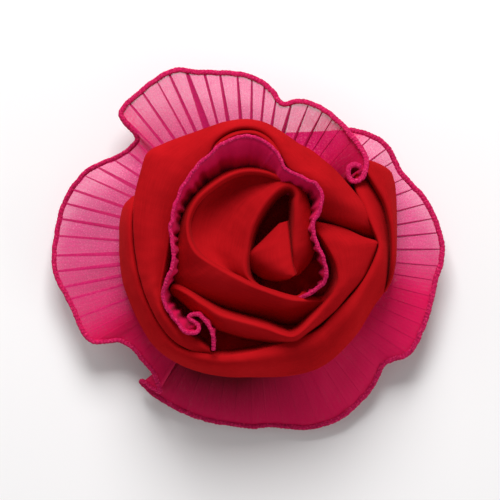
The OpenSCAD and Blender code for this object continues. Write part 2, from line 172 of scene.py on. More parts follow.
TURN_4_ROWS = [
    (-34.8, 16.8, 25, -35.8, 16.4, 20, 0), (-35.8, 13.8, 29, -38.6, 13.6, 19, 0.1),
    (-36.4, 9.6, 32, -39.7, 9.4, 18, 0.2), (-36.2, 3, 33.4, -40, 3, 17, 0.3),
    (-35.4, -3.4, 34, -39.9, -3.6, 17, 0.4), (-34, -9.6, 34, -38.6, -10.8, 17, 0.5),
    (-31.4, -16.4, 34, -35.8, -18.2, 17, 0.6), (-27.8, -22.6, 34, -32.2, -25.2, 22, 0.7),
    (-24.2, -27.6, 34, -28, -30.6, 22, 0.8), (-20.2, -30.6, 34, -22.8, -34.4, 22, 1),
    (-14.1, -32.2, 34, -15.6, -37.2, 22, 1.3), (-7.5, -32.8, 34, -7.9, -38.7, 22, 1.5),
    (-0.6, -31.9, 34, 0, -38.9, 22, 1.7), (6.6, -30.1, 34, 8.3, -38.7, 22, 1.9),
    (13.5, -28, 34.2, 16.2, -37.8, 22, 2), (20.8, -24.8, 34.6, 22.8, -35.1, 22, 2.1),
    (26.2, -19.4, 35, 28.5, -30.3, 22.5, 2.1), (31.2, -14.4, 35.4, 33.6, -24.3, 23, 2),
    (35.4, -8.6, 35.8, 38, -17.2, 19, 1.8), (38.2, -3.2, 36, 42, -11.2, 20, 1.5),
    (39.4, 1.2, 35.2, 43, -3.6, 22, 1.2), (37.8, 6.4, 34, 43, 3.6, 24, 0.9),
    (35.4, 12.4, 32.6, 42.2, 10.8, 24, 0.8), (33, 18, 31, 40.2, 16.2, 24, 0.6),
    (32.8, 21.6, 29.4, 37.4, 20.4, 24, 0.4), (33.6, 23.8, 27, 35.4, 23.4, 23, 0.1)]

STRIP_END_ROWS = [
    (41.4, -12.6, 21, 41.8, -12.2, 17, 0), (42.6, -9.6, 26, 43.4, -9.2, 17, 0.1),
    (43.5, -4.4, 30, 44.5, -4.2, 17, 0.2), (43.7, 2.1, 31, 44.9, 2.4, 17, 0.3),
    (43.1, 8.4, 31.4, 44.9, 9, 17, 0.4), (41.4, 14.6, 31.6, 44.8, 15.8, 18, 0.5),
    (38.8, 19.4, 31.6, 44.1, 21.6, 19, 0.5), (36.2, 23.6, 31.2, 42.6, 24.4, 20, 0.4),
    (35.2, 26, 29.6, 39.2, 26.4, 21, 0.2), (35, 27.4, 26, 36, 27.4, 21, 0)]

# The inner ruffle's edging, from its lower end by the bud to its curled end: x, y, z of the edge,
# then how far the sewn root lies in towards the bud.
INNER_EDGE_ROWS = [
    (14.8, -14.6, 36.5, 0.6), (17.2, -13.6, 38.6, 0.8), (20.2, -11.8, 40.4, 1),
    (22.3, -9.4, 41.8, 1.2), (22.9, -6.4, 42.8, 1.4), (22.4, -3, 43.4, 1.6),
    (20.7, 0.8, 43.8, 1.8), (19.3, 4.6, 44, 2.2), (19.1, 8.2, 44, 3),
    (20.3, 10.6, 44.2, 4), (21.4, 13.2, 44.4, 4.8), (21.6, 16.2, 44.4, 5),
    (20.6, 18.8, 44.4, 5.2), (17.6, 20.9, 44.6, 5.6), (13.8, 22.7, 44.4, 6.6),
    (10.2, 24.7, 44.4, 7.8), (9.4, 27, 44.6, 8.6), (7.4, 29.8, 44.8, 9.4),
    (4.7, 32.2, 44.8, 10), (1.4, 33.8, 44.6, 10.4), (-1.5, 34.2, 44.6, 10.4),
    (-4.6, 33.2, 44.6, 9.8), (-7.4, 32.2, 44.4, 9), (-10.1, 30.8, 44.4, 8.2),
    (-11.2, 29.2, 44.4, 7.6), (-14, 27, 44.2, 6.8), (-16.2, 24.8, 44.2, 6),
    (-18.6, 21.4, 44.2, 5.2), (-20.8, 17.8, 44, 4.4), (-22.4, 13.6, 44, 3.8),
    (-23.5, 8.6, 43.8, 3.2), (-23.9, 5.2, 43.6, 2.8), (-23.2, 0.2, 43.6, 2.6),
    (-23.4, -5.2, 43.2, 2.4), (-25.2, -9.6, 42.4, 2.2), (-26.2, -13.4, 41.4, 2.2),
    (-25.4, -17, 40.6, 2.4), (-23.4, -20, 40.2, 2.8), (-21.2, -22.6, 40, 3.2),
    (-18.8, -24.8, 39.8, 3.6), (-16.6, -25, 39.6, 3.6), (-15.4, -23.8, 39.4, 3.2),
    (-16.6, -21.8, 39.2, 2.8), (-18.4, -20.2, 39, 2.4), (-17.2, -19.4, 39, 2.2),
    (-14.6, -20, 39, 2.2), (-12.4, -23, 38.6, 2.4), (-11, -26.8, 37.8, 2.6),
    (-11, -30.4, 36.4, 2.8)]

# The outer ruffle's edging, anticlockwise from its curled end: x, y, z.
OUTER_EDGE_ROWS = [
    (33, 24.3, 30.5), (31.4, 25.2, 31), (29.6, 24.6, 31.4), (29, 22.4, 31.6),
    (30.2, 20.5, 31.6), (32.5, 20.7, 31.4), (34, 23.4, 31), (34.3, 27, 29.6),
    (32.8, 30.3, 27.8), (30.3, 33.6, 25.6), (27.9, 36.6, 23.6), (24.6, 39.8, 21.6),
    (21, 42.4, 19.8), (17.4, 43.9, 18.2), (13.5, 44.2, 16.8), (10, 43.6, 15.8),
    (8.3, 45, 15), (6.9, 47.2, 14.2), (4.5, 49.5, 13.4), (1.5, 51.3, 12.8),
    (-2.1, 52.5, 12.4), (-6.6, 53.1, 12.2), (-12, 53.2, 12.4), (-17.4, 53.4, 13),
    (-21.6, 54, 13.6), (-25.5, 52.5, 13.8), (-30, 49.5, 13.6), (-34.5, 45.9, 13.2),
    (-37.8, 42.6, 13), (-38.7, 40.8, 13.4), (-37.8, 38.7, 13.4), (-35.8, 36.6, 13.2),
    (-34, 34.5, 12.8), (-33.7, 33, 12.2), (-35.1, 31.2, 10.8), (-37.5, 29.3, 9.6),
    (-40.5, 27.6, 8.8), (-43.5, 26.4, 8.6), (-47.4, 24.6, 8.6), (-50.4, 22.2, 8.4),
    (-53.1, 18.9, 8.2), (-55.5, 14.7, 8), (-57, 10.2, 8), (-57.9, 5.4, 8.2),
    (-58.7, 0, 8.6), (-58.7, -4.8, 9.2), (-57.3, -9.6, 9.8), (-54.9, -13.8, 10.2),
    (-52.8, -18, 10.6), (-51, -22.5, 10.8), (-48.9, -26, 11), (-46.2, -27.5, 11),
    (-42.6, -27.3, 10.8), (-39.6, -27, 10.6), (-36.6, -28.2, 10.6), (-33.9, -30.4, 10.6),
    (-32, -33, 10.6), (-29.8, -35.4, 10.6), (-28.2, -38.2, 10.4), (-27, -42, 10),
    (-27.4, -42.7, 9.4), (-28.6, -41.9, 8.8), (-30.4, -40.6, 8), (-32.2, -39.4, 7.2),
    (-32.6, -39.6, 6.6), (-31, -41.4, 6), (-27.6, -44.2, 5.4), (-21.6, -47.7, 4.6),
    (-15, -50.4, 4), (-10, -51.6, 3.8), (-4.5, -52.5, 3.8), (1.5, -53.1, 4),
    (6, -52.6, 4.2), (12, -53.1, 4.2), (16.5, -53.4, 4.2), (22.5, -52.2, 4.4),
    (28.2, -49.5, 5), (33, -45.3, 5.8), (36.6, -40.8, 6.8), (38.8, -36.6, 7.8),
    (40.2, -34, 8.4), (42.6, -32.8, 9), (46.2, -31.8, 9.6), (48.3, -30, 10),
    (50.4, -26.4, 10.2), (52.5, -21.3, 10.4), (54.3, -15, 10.4), (55.8, -8.4, 10.2),
    (57.3, -3.6, 9.8), (57.6, 1.5, 9.4), (56.7, 5.7, 9), (54.6, 11.1, 8.6),
    (51.9, 15.9, 8.4), (48.3, 19.8, 8.4), (45.3, 23.1, 8.4), (43.2, 27.3, 8.4),
    (41.7, 30.3, 8.6), (39.3, 32.7, 8.8), (36, 34.5, 9), (32.1, 35.7, 9.2),
    (27.9, 36, 9.6), (22.4, 35.7, 10.6), (16.4, 35.4, 11.6), (10.6, 35.2, 12.4)]

# How the outer ruffle's cloth lies, by the rim from the curled end: a point of the rim, how far the
# cloth there is doubled, how much painted shade it gets in deep folds, the curl's cavity and the
# rose's shadow, and the share of a full tuck's width.
LIE = [
    ((33, 24.3), 1, 2.4, 0.1), ((34.3, 27), 1, 0.7, 0.1), ((30.3, 33.6), 0.8, 0.1, 0.12),
    ((26.2, 38.2), 0.4, 0, 0.3),
    ((21, 42.4), 0.1, 0, 0.9), ((13.5, 44.2), 0, 0, 1), ((-12, 53.2), 0, 0, 1.1),
    ((-34.5, 45.9), 0.15, 0, 1), ((-37.8, 38.7), 0.6, 0.1, 1),
    ((-34, 34.5), 0.8, 0.1, 1), ((-37.5, 29.3), 0.1, 0, 1.1), ((-57, 10.2), 0, 0, 1),
    ((-55, -13), 0.35, 0, 0.9), ((-51, -22.5), 0.6, 0, 0.6),
    ((-46.2, -27.5), 1, 0.1, 0.3), ((-33.9, -30.4), 1, 0.35, 0.2),
    ((-27, -42), 1, 0.5, 0.15), ((-32.2, -39.4), 1, 0.7, 0.15),
    ((-21.6, -47.7), 1, 1, 0.12), ((-4.5, -52.5), 1, 0.95, 0.12),
    ((12, -53.1), 1, 0.6, 0.12),
    ((28.2, -49.5), 1, 0.05, 0.15), ((54.3, -15), 0.95, 0, 0.25), ((56.4, -6), 0.5, 0, 0.5),
    ((57.6, 1.5), 0.15, 0, 0.6), ((54.6, 11.1), 0, 0, 0.6), ((36, 34.5), 0, 0, 0.6),
    ((31, 35.9), 0.8, 0.1, 0.2), ((22.4, 35.7), 1, 0.1, 0.15)]


# ---- Curves ----
def curve_through(rows, count, evenly_by=3):
    """A smooth curve through rows of numbers, at even steps along its first columns."""
    p = np.array(rows, float)
    gaps = np.linalg.norm(np.diff(p[:, :evenly_by], axis=0), axis=1) ** 0.5
    t = np.concatenate([[0.0], np.cumsum(np.maximum(gaps, 1e-6))])
    slope = np.diff(p, axis=0) / np.diff(t)[:, None]
    m = np.empty_like(p)
    m[0], m[-1] = slope[0], slope[-1]
    before, after = np.diff(t)[:-1, None], np.diff(t)[1:, None]
    m[1:-1] = (slope[:-1] * after + slope[1:] * before) / (before + after)
    fine = []
    for i in range(len(p) - 1):
        h = t[i + 1] - t[i]
        for u in np.linspace(0, 1, 24, endpoint=False):
            fine.append((2 * u ** 3 - 3 * u ** 2 + 1) * p[i] + (u ** 3 - 2 * u ** 2 + u) * h * m[i]
                        + (3 * u ** 2 - 2 * u ** 3) * p[i + 1] + (u ** 3 - u ** 2) * h * m[i + 1])
    fine.append(p[-1])
    fine = np.array(fine)
    run = run_along(fine[:, :evenly_by])
    at = np.linspace(0, run[-1], count)
    return np.stack([np.interp(at, run, fine[:, k]) for k in range(fine.shape[1])], axis=1)


def run_along(points):
    """How far along a line of points each of them is."""
    return np.concatenate([[0.0], np.cumsum(np.linalg.norm(np.diff(points, axis=0), axis=1))])


def length_of(points):
    return float(np.linalg.norm(np.diff(points[:, :3], axis=0), axis=1).sum())


def cut_size(places, along):
    """The flat width and length of a strip of cloth: the mean of its widths, and the length of
    the line of points numbered along."""
    widths = [length_of(row) for row in places]
    return round(float(np.mean(widths)), 4), round(length_of(places[:, along]), 4)


def ripple(x, y, seed):
    """Smooth noise between -1 and 1."""
    return noise.noise(Vector((x, y, seed * 7.31)))


def wavered(path, sway, lift, sway_pace, lift_pace, seed):
    """Moves a path's points up and sideways by smooth noise, as a sewn edge wanders."""
    for i in range(len(path)):
        path[i, 2] += ripple(i * lift_pace, 0.0, seed) * lift
        path[i, 0] += ripple(i * sway_pace, 1.0, seed + 1) * sway
        path[i, 1] += ripple(i * sway_pace, 2.0, seed + 2) * sway
    return path


# ---- Meshes ----
def new_piece(name, bm, smooth=True):
    mesh = bpy.data.meshes.new(name)
    bm.to_mesh(mesh)
    bm.free()
    for poly in mesh.polygons:
        poly.use_smooth = smooth
    piece = bpy.data.objects.new(name, mesh)
    bpy.context.collection.objects.link(piece)
    return piece


def cloth_grid(places, length, width, closed=False, shares=None):
    """A grid moved to places[i][j], with i along the strip and j across it.

    shares[i][j] holds how far the cloth there is folded into a tuck, how far it is doubled, and how
    much painted shade it gets in deep folds and shadow."""
    rows, cols = places.shape[:2]
    bm = bmesh.new()
    uv = bm.loops.layers.uv.new("UVMap")
    if shares is not None:
        layers = [bm.verts.layers.float.new(name) for name in ("tuck", "doubled", "deep")]
    bmesh.ops.create_grid(bm, x_segments=rows - 1, y_segments=cols - 1, size=1.0, calc_uvs=True)
    for face in bm.faces:
        for loop in face.loops:
            loop[uv].uv = (loop[uv].uv.x * length, loop[uv].uv.y * width)
    for vert in bm.verts:
        i = round((vert.co.x + 1) / 2 * (rows - 1))
        j = round((vert.co.y + 1) / 2 * (cols - 1))
        vert.co = places[i, j]
        if shares is not None:
            for layer, share in zip(layers, shares[i, j]):
                vert[layer] = share
    if closed:
        bmesh.ops.remove_doubles(bm, verts=bm.verts, dist=1e-7)
    return bm


def subdivided(piece, levels=1):
    mod = piece.modifiers.new("Smooth", "SUBSURF")
    mod.levels = mod.render_levels = levels
    return piece


def thickened(piece, thickness):
    mod = piece.modifiers.new("Cloth", "SOLIDIFY")
    mod.thickness = thickness
    mod.offset = 0.0
    return piece


def face_up(bm):
    """Turns an open sheet so that most of it faces up."""
    bm.normal_update()
    if sum(f.normal.z * f.calc_area() for f in bm.faces) < 0:
        bmesh.ops.reverse_faces(bm, faces=bm.faces)


def satin_strip(name, rows, wall, skirt, seed, steps, fold, fall):
    """One stretch of the folded strip: inner wall, round fold, bulging face and hidden skirt.

    wall is the depth of the inner wall, and skirt how far the hidden edge moves out and down.
    A face with a fall of 1 slopes evenly, and a higher fall keeps it level for longer."""
    line = curve_through(rows, steps, evenly_by=6)
    places = np.empty((steps, ACROSS, 3))
    along = 0.0
    for i, (rx, ry, rz, ex, ey, ez, bulge) in enumerate(line):
        if i:
            along += math.hypot(rx - line[i - 1][0], ry - line[i - 1][1])
        w = max(math.hypot(ex - rx, ey - ry), 1e-3)
        out = ((ex - rx) / w, (ey - ry) / w)
        drop = rz - ez
        section = []
        for k in range(WALL_N):  # inner wall, from its foot up
            t = 1 - k / WALL_N
            section.append((-fold - wall * 0.14 * t, -fold - (wall - fold) * t ** 1.1))
        for k in range(FOLD_N):  # round fold
            a = math.pi * (1 - k / 8)
            section.append((fold * math.cos(a), -fold + fold * math.sin(a)))
        hollow = min(1.0, max(0.0, -bulge))
        for k in range(FACE_N):  # face
            t = max(k / (FACE_N - 1), 0.015)
            level = -drop * t ** fall + max(bulge, 0.0) * math.sin(math.pi * t)
            deep = -drop * t + min(bulge, 0.0) * math.sin(math.pi * t ** 1.2)
            section.append((w * t, level * (1 - hollow) + deep * hollow))
        for k in range(1, SKIRT_N + 1):  # skirt
            t = k / SKIRT_N
            section.append((w + skirt[0] * t ** 1.5, -drop - skirt[1] * t))
        for j, (o, z) in enumerate(section):
            v = max(0.0, (j - CREST) / (ACROSS - 1 - CREST))
            soft = ripple(along * 0.16 + v * 1.3, v * 1.6, seed) * CREASE * 1.6
            soft += ripple(along * 0.5 - v * 2.0, v * 3.0, seed + 3) * CREASE * 0.5
            amount = min(1.0, max(w, 2.0) / 6.0) * (0.35 + 0.65 * min(1.0, v * 3))
            places[i, j] = rose_point(rx + out[0] * (o + soft * amount * 0.6),
                                      ry + out[1] * (o + soft * amount * 0.6),
                                      rz + z + soft * amount)
    bm = cloth_grid(places, length_of(places[:, FACE_START]), length_of(places[steps // 2]))
    face_up(bm)
    piece = new_piece(name, bm)
    thickened(piece, SATIN_T)
    subdivided(piece)
    return piece, cut_size(places, FACE_START)


def cord(name, path, across, sides, stitch=0.0, depth=0.0):
    """A closed cord along a path. Its section is across[0] wide and across[1] high."""
    count = len(path)
    places = np.empty((count, sides + 1, 3))
    side = None
    run = 0.0
    for i in range(count):
        tangent = Vector(path[min(i + 1, count - 1)]) - Vector(path[max(i - 1, 0)])
        tangent.normalize()
        if i:
            run += float(np.linalg.norm(path[i] - path[i - 1]))
        ref = Vector((0, 0, 1)) if side is None else tangent.cross(side)
        side = ref.cross(tangent) if side is None else (side - tangent * side.dot(tangent))
        side.normalize()
        up = tangent.cross(side)
        tight = min(1.0, (i + 0.15) / 1.5, (count - 1 - i + 0.15) / 1.5)
        for k in range(sides + 1):
            a = 2 * math.pi * (k % sides) / sides
            bead = 1.0
            if stitch:
                bead += depth * math.sin(2 * math.pi * run / stitch + a)
                bead += (depth + 0.06) * 1.6 * ripple(run * 1100, a * 0.9, len(name))
            offset = (side * math.cos(a) * across[0] / 2 + up * math.sin(a) * across[1] / 2)
            places[i, k] = Vector(path[i]) + offset * bead * tight
    bm = cloth_grid(places, run, math.pi * across[0], closed=True)
    ends = [e for e in bm.edges if e.is_boundary]
    bmesh.ops.holes_fill(bm, edges=ends, sides=0)
    bmesh.ops.recalc_face_normals(bm, faces=bm.faces)
    return new_piece(name, bm)


# ---- Materials ----
class Shade:
    """A shader value that takes part in plain arithmetic."""

    def __init__(self, mat, socket):
        self.mat, self.socket = mat, socket

    def maths(self, operation, *values):
        return self.mat.node("ShaderNodeMath", {"operation": operation}, dict(enumerate(values)))

    def __add__(self, other):
        return self.maths("ADD", self, other)

    def __sub__(self, other):
        return self.maths("SUBTRACT", self, other)

    def __mul__(self, other):
        return self.maths("MULTIPLY", self, other)

    def __pow__(self, other):
        return self.maths("POWER", self, other)

    def __rsub__(self, other):
        return self.maths("SUBTRACT", other, self)

    __radd__, __rmul__ = __add__, __mul__

    def wave(self):
        """A sine wave between 0 and 1."""
        return self.maths("SINE", self) * 0.5 + 0.5

    def clamped(self):
        return self.mat.node("ShaderNodeClamp", {}, {"Value": self})


class Finish:
    """A material being built, with one method for every kind of node."""

    def __init__(self, name):
        self.material = bpy.data.materials.new("finish_" + name)
        self.material.use_nodes = True
        self.tree = self.material.node_tree
        self.tree.nodes.clear()
        self.output = self.tree.nodes.new("ShaderNodeOutputMaterial")

    def node(self, kind, settings, inputs, out=0):
        made = self.tree.nodes.new(kind)
        for key, value in settings.items():
            if key == "stops":
                ramp = made.color_ramp
                while len(ramp.elements) < len(value):
                    ramp.elements.new(0.5)
                for element, (place, colour) in zip(ramp.elements, value):
                    element.position, element.color = place, (*colour, 1.0)
            else:
                setattr(made, key, value)
        for key, value in inputs.items():
            if isinstance(value, Shade):
                self.tree.links.new(value.socket, made.inputs[key])
            else:
                made.inputs[key].default_value = value
        return Shade(self, made.outputs[out])

    def uv(self, scale=(1.0, 1.0, 1.0), turn=0.0):
        place = self.node("ShaderNodeUVMap", {"uv_map": "UVMap"}, {})
        return self.node("ShaderNodeMapping", {}, {"Vector": place, "Scale": scale,
                                                   "Rotation": (0.0, 0.0, turn)})

    def solid(self, scale=(1.0, 1.0, 1.0)):
        place = self.node("ShaderNodeTexCoord", {}, {}, out="Object")
        return self.node("ShaderNodeMapping", {}, {"Vector": place, "Scale": scale})

    def share(self, name):
        return self.node("ShaderNodeAttribute", {"attribute_name": name}, {}, out="Fac")

    def noise(self, place, scale, detail, rough):
        return self.node("ShaderNodeTexNoise", {}, {"Vector": place, "Scale": scale,
                                                    "Detail": detail, "Roughness": rough})

    def mottle(self, scale, detail=3.0, rough=0.6):
        """Noise through the solid, with scale to the metre."""
        return self.noise(self.solid(), scale, detail, rough)

    def parts(self, place):
        split = self.node("ShaderNodeSeparateXYZ", {}, {0: place}).socket.node
        return [Shade(self, socket) for socket in split.outputs]

    def ramp(self, value, *stops):
        return self.node("ShaderNodeValToRGB", {"stops": stops}, {"Fac": value})

    def mix(self, factor, a, b):
        """A colour between two, each a colour or a link."""
        colours = {index: value if isinstance(value, Shade) else (*value, 1.0)
                   for index, value in ((6, a), (7, b))}
        return self.node("ShaderNodeMix", {"data_type": "RGBA"}, {0: factor, **colours}, out=2)

    def bump(self, height, strength, distance):
        return self.node("ShaderNodeBump", {}, {"Height": height, "Strength": strength,
                                                "Distance": distance})

    def surface(self, **inputs):
        shader = self.node("ShaderNodeBsdfPrincipled", {},
                           {k.replace("_", " "): v for k, v in inputs.items()})
        self.tree.links.new(shader.socket, self.output.inputs[0])
        return self.material


def tinted(colour, shares, lifts=(0.0, 0.0, 0.0)):
    """A colour with its parts multiplied by shares and raised by lifts."""
    return tuple(min(1.0, c * share + lift) for c, share, lift in zip(colour, shares, lifts))


def shaded(colour, share, lift=0.0):
    return tinted(colour, (share,) * 3, (lift,) * 3)


def satin_finish(colour):
    f = Finish("red_satin")
    place = f.uv((1000, 1000, 1000), turn=0.5)
    warp_x, warp_y, _ = f.parts(place)
    twill = (warp_x * 9.0 + warp_y * 4.0).wave()
    slubs = f.noise(f.uv((180, 2600, 1000)), 1.0, 4.0, 0.6)
    cloud = f.mottle(55.0, 3.0, 0.5)
    deep = shaded(colour, 0.72)
    lift = shaded(colour, 1.16, 0.002)
    base = f.ramp(cloud * 0.65 + slubs * 0.35, (0.30, deep), (0.52, colour), (0.78, lift))
    height = twill * 0.25 + slubs * 0.75
    return f.surface(
        Base_Color=base, Roughness=slubs * 0.12 + 0.50, Specular_IOR_Level=0.0,
        Sheen_Weight=0.06, Sheen_Roughness=0.35, Sheen_Tint=(1.0, 0.14, 0.14, 1.0),
        Normal=f.bump(height, 0.22, 0.00008))


def organza_finish(colour, thin):
    """Sheer woven cloth. thin is how much of the light one layer stops."""
    f = Finish("pink_organza")
    u, v, _ = f.parts(f.uv())
    tuck = f.share("tuck")
    doubled = f.share("doubled")
    # painted shade share, read from the deep attribute
    fold_shade = f.share("deep")
    thread = 2 * math.pi / 0.00042
    weave = (u * thread).wave() * 0.5 + (v * thread).wave() * 0.5
    cloud = f.mottle(70.0, 4.0)
    sparkle = f.mottle(1900.0, 3.0, 0.65)
    shimmer = f.noise(f.uv((900, 160, 1)), 1.0, 3.0, 0.6)
    deep = shaded(colour, 0.86)
    # a tuck's stacked layers: their deeper colour, darkened further as painted shade between the
    # layers
    packed = tinted(colour, (0.62, 0.5, 0.46))
    under = tinted(colour, (0.88, 0.36, 0.38))
    base = f.mix(cloud, deep, colour)
    specks = ((sparkle - 0.52) * 5.0).clamped()
    base = f.mix(specks * 0.5, base, (0.86, 0.30, 0.46))
    base = f.mix(doubled, base, under)
    base = f.mix(tuck * (1.0 - doubled * 0.9), base, packed)
    # painted shade: a near-black crimson laid into deep folds, the curled end's cavity and the
    # rose's shadow
    fold_shade_colour = tinted(colour, (0.17, 0.05, 0.045))
    base = f.mix((fold_shade * 0.9).clamped(), base, fold_shade_colour)
    alpha = thin + weave * 0.10 + (cloud - 0.5) * 0.10 + (shimmer - 0.5) * 0.12
    alpha = alpha + (sparkle - 0.5) * 0.7 + tuck * 0.12
    alpha = (alpha + doubled * 0.34).clamped()
    return f.surface(
        Base_Color=base, Alpha=alpha, Roughness=shimmer * 0.2 + 0.42, Specular_IOR_Level=0.07,
        Sheen_Weight=0.04, Sheen_Roughness=0.4, Sheen_Tint=(1.0, 0.5, 0.7, 1.0),
        Normal=f.bump(weave + shimmer * 0.6 + sparkle * 0.4, 0.3, 0.0001))


def overlock_finish(colour):
    f = Finish("overlock_thread")
    u, v, _ = f.parts(f.uv())
    loops = (u * (2 * math.pi / 0.0011) + v * 900.0).wave()
    fibre = f.mottle(2600.0)
    fluff = f.mottle(1100.0)
    deep = shaded(colour, 0.45)
    # painted highlights: pale pink specks where the thread's fibres catch the light
    fibre_glint = tinted(colour, (1.45, 4.0, 2.0), (0.0, 0.03, 0.02))
    shade = f.mix(((loops * 0.12 + fluff * 1.7) - 0.45).clamped(), deep, colour)
    base = f.mix(((fibre - 0.53) * 6.0).clamped() * 0.75, shade, fibre_glint)
    return f.surface(
        Base_Color=base, Roughness=fluff * 0.2 + 0.66, Specular_IOR_Level=0.05,
        Normal=f.bump(loops * 0.2 + fibre * 0.5 + fluff, 0.7, 0.00025))


def felt_finish(colour):
    f = Finish("felt")
    fine = f.mottle(1500.0, 5.0, 0.7)
    blot = f.mottle(160.0)
    deep = shaded(colour, 0.55)
    lift = shaded(colour, 1.5, 0.01)
    base = f.ramp(fine * 0.6 + blot * 0.4, (0.35, deep), (0.52, colour), (0.72, lift))
    return f.surface(
        Base_Color=base, Roughness=fine * 0.1 + 0.85, Specular_IOR_Level=0.15,
        Sheen_Weight=0.35, Sheen_Roughness=0.6, Sheen_Tint=(1.0, 0.6, 0.6, 1.0),
        Normal=f.bump(fine + blot * 0.5, 0.8, 0.0004))


def net_finish(colour):
    f = Finish("buckram")
    x, y, _ = f.parts(f.solid())
    pitch = 2 * math.pi / 0.0012
    bars = (x * pitch).wave() ** 3.0
    rows = (y * pitch).wave() ** 3.0
    grid = (bars + rows).clamped()
    fibre = f.mottle(1200.0, 4.0)
    deep = shaded(colour, 0.35)
    base = f.mix((grid * 0.8 + fibre * 0.3 - 0.1).clamped(), deep, colour)
    return f.surface(
        Base_Color=base, Roughness=fibre * 0.2 + 0.7, Specular_IOR_Level=0.25,
        Normal=f.bump(grid + fibre * 0.3, 0.7, 0.0003))


def thread_finish(colour):
    f = Finish("sewing_thread")
    u, v, _ = f.parts(f.uv())
    ply = (u * (2 * math.pi / 0.0006) + v * 2000.0).wave()
    fibre = f.mottle(3000.0)
    deep = shaded(colour, 0.6)
    base = f.mix((ply * 0.6 + fibre * 0.4).clamped(), deep, colour)
    return f.surface(
        Base_Color=base, Roughness=fibre * 0.2 + 0.5, Specular_IOR_Level=0.35,
        Sheen_Weight=0.2, Normal=f.bump(ply, 0.6, 0.0001))


def glue_finish(colour):
    f = Finish("glue")
    swirl = f.mottle(240.0, 3.0, 0.5)
    specks = f.mottle(1400.0, 2.0, 0.5)
    deep = shaded(colour, 0.86)
    base = f.mix(swirl, deep, colour)
    return f.surface(
        Base_Color=base, Roughness=swirl * 0.2 + 0.28, Specular_IOR_Level=0.5,
        Coat_Weight=0.2, Coat_Roughness=0.2,
        Normal=f.bump(swirl + specks * 0.2, 0.4, 0.0003))


def steel_finish(name, colour, brushed, wear):
    f = Finish(name)
    grain = f.noise(f.solid(brushed), 1.0, 4.0, 0.6)
    cloud = f.mottle(130.0, 4.0)
    spots = ((f.mottle(900.0) - 0.66) * 8.0).clamped()
    deep = shaded(colour, 0.80)
    base = f.mix(cloud, deep, colour)
    base = f.mix(spots * wear, base, (0.30, 0.27, 0.24))
    return f.surface(
        Base_Color=base, Metallic=1.0, Roughness=(grain * 0.16 + cloud * 0.12 + 0.16).clamped(),
        Normal=f.bump(grain * 0.5 + spots, 0.10, 0.00006))


def floor_finish(colour):
    f = Finish("studio_floor")
    soft = f.mottle(6.0, 2.0, 0.5)
    deep = shaded(colour, 0.99)
    return f.surface(Base_Color=f.mix(soft, deep, colour), Roughness=soft * 0.05 + 0.8,
                     Specular_IOR_Level=0.1)


def finished(piece, name):
    """Gives a piece the finish of that name."""
    material = bpy.data.materials.get("finish_" + name)
    if material is None:
        raise RuntimeError("the finish %s isn't made yet" % name)
    piece.data.materials.clear()
    piece.data.materials.append(material)


def placed(piece, slot, *nodes):
    """Puts a piece on the flower with its slot's finish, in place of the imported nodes."""
    finished(piece, slot)
    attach(piece, "flower")
    if nodes:
        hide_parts(*nodes)


# ---- Sizes and colours ----
def colour_prop(name, description, default):
    return bpy.props.FloatVectorProperty(name=name, description=description, default=default,
                                         size=3, min=0.0, max=1.0, subtype="COLOR")


def length_prop(name, description, default, low, high):
    return bpy.props.FloatProperty(name=name, description=description, default=default, min=low,
                                   max=high, precision=5, unit="LENGTH", subtype="DISTANCE")


class FlowerColours(bpy.types.PropertyGroup):
    """Colours of the cloths, the threads and the metal"""
    satin: colour_prop("Satin", "Colour of the satin rose", (0.405, 0.0060, 0.0092))
    organza: colour_prop("Organza", "Colour of the sheer ruffles", (0.78, 0.016, 0.215))
    edging: colour_prop("Edging", "Colour of the overlocked edging", (0.66, 0.010, 0.105))
    thread: colour_prop("Thread", "Colour of the backing's stitches", (0.55, 0.02, 0.12))
    felt: colour_prop("Felt", "Colour of the felt backing and strap", (0.22, 0.004, 0.010))
    net: colour_prop("Net", "Colour of the stiff foundation net", (0.10, 0.004, 0.008))
    glue: colour_prop("Glue", "Colour of the set glue", (0.72, 0.66, 0.50))
    steel: colour_prop("Steel", "Colour of the plated clip", (0.68, 0.68, 0.70))


class FlowerSizes(bpy.types.PropertyGroup):
    """Sizes of the cloth's details"""
    tuck_pitch: length_prop("Tuck pitch", "Distance between the ruffle's tucks along its rim",
                            0.0050, 0.003, 0.009)
    tuck_width: length_prop("Tuck width", "Width of a folded tuck at the rim", 0.0007, 0.0003,
                            0.0015)
    edging_width: length_prop("Edging width", "Width of the overlocked edging", 0.0017, 0.001,
                              0.003)
    stitch_pitch: length_prop("Stitch pitch", "Distance between the edging's stitches", 0.0011,
                              0.0006, 0.002)


# ---- Pieces ----
class FLOWER_OT_finishes(bpy.types.Operator):
    """Makes every cloth, thread, glue and metal finish"""
    bl_idname = "flower.finishes"
    bl_label = "Finishes"

    def execute(self, context):
        c = context.scene.flower_colours
        satin_finish(tuple(c.satin))
        organza_finish(tuple(c.organza), 0.66)
        overlock_finish(tuple(c.edging))
        felt_finish(tuple(c.felt))
        net_finish(tuple(c.net))
        thread_finish(tuple(c.thread))
        glue_finish(tuple(c.glue))
        steel_finish("clip_steel", tuple(c.steel), (900.0, 60.0, 900.0), 0.35)
        steel_finish("spring_wire", shaded(c.steel, 0.8), (300.0, 300.0, 300.0), 0.5)
        return {"FINISHED"}


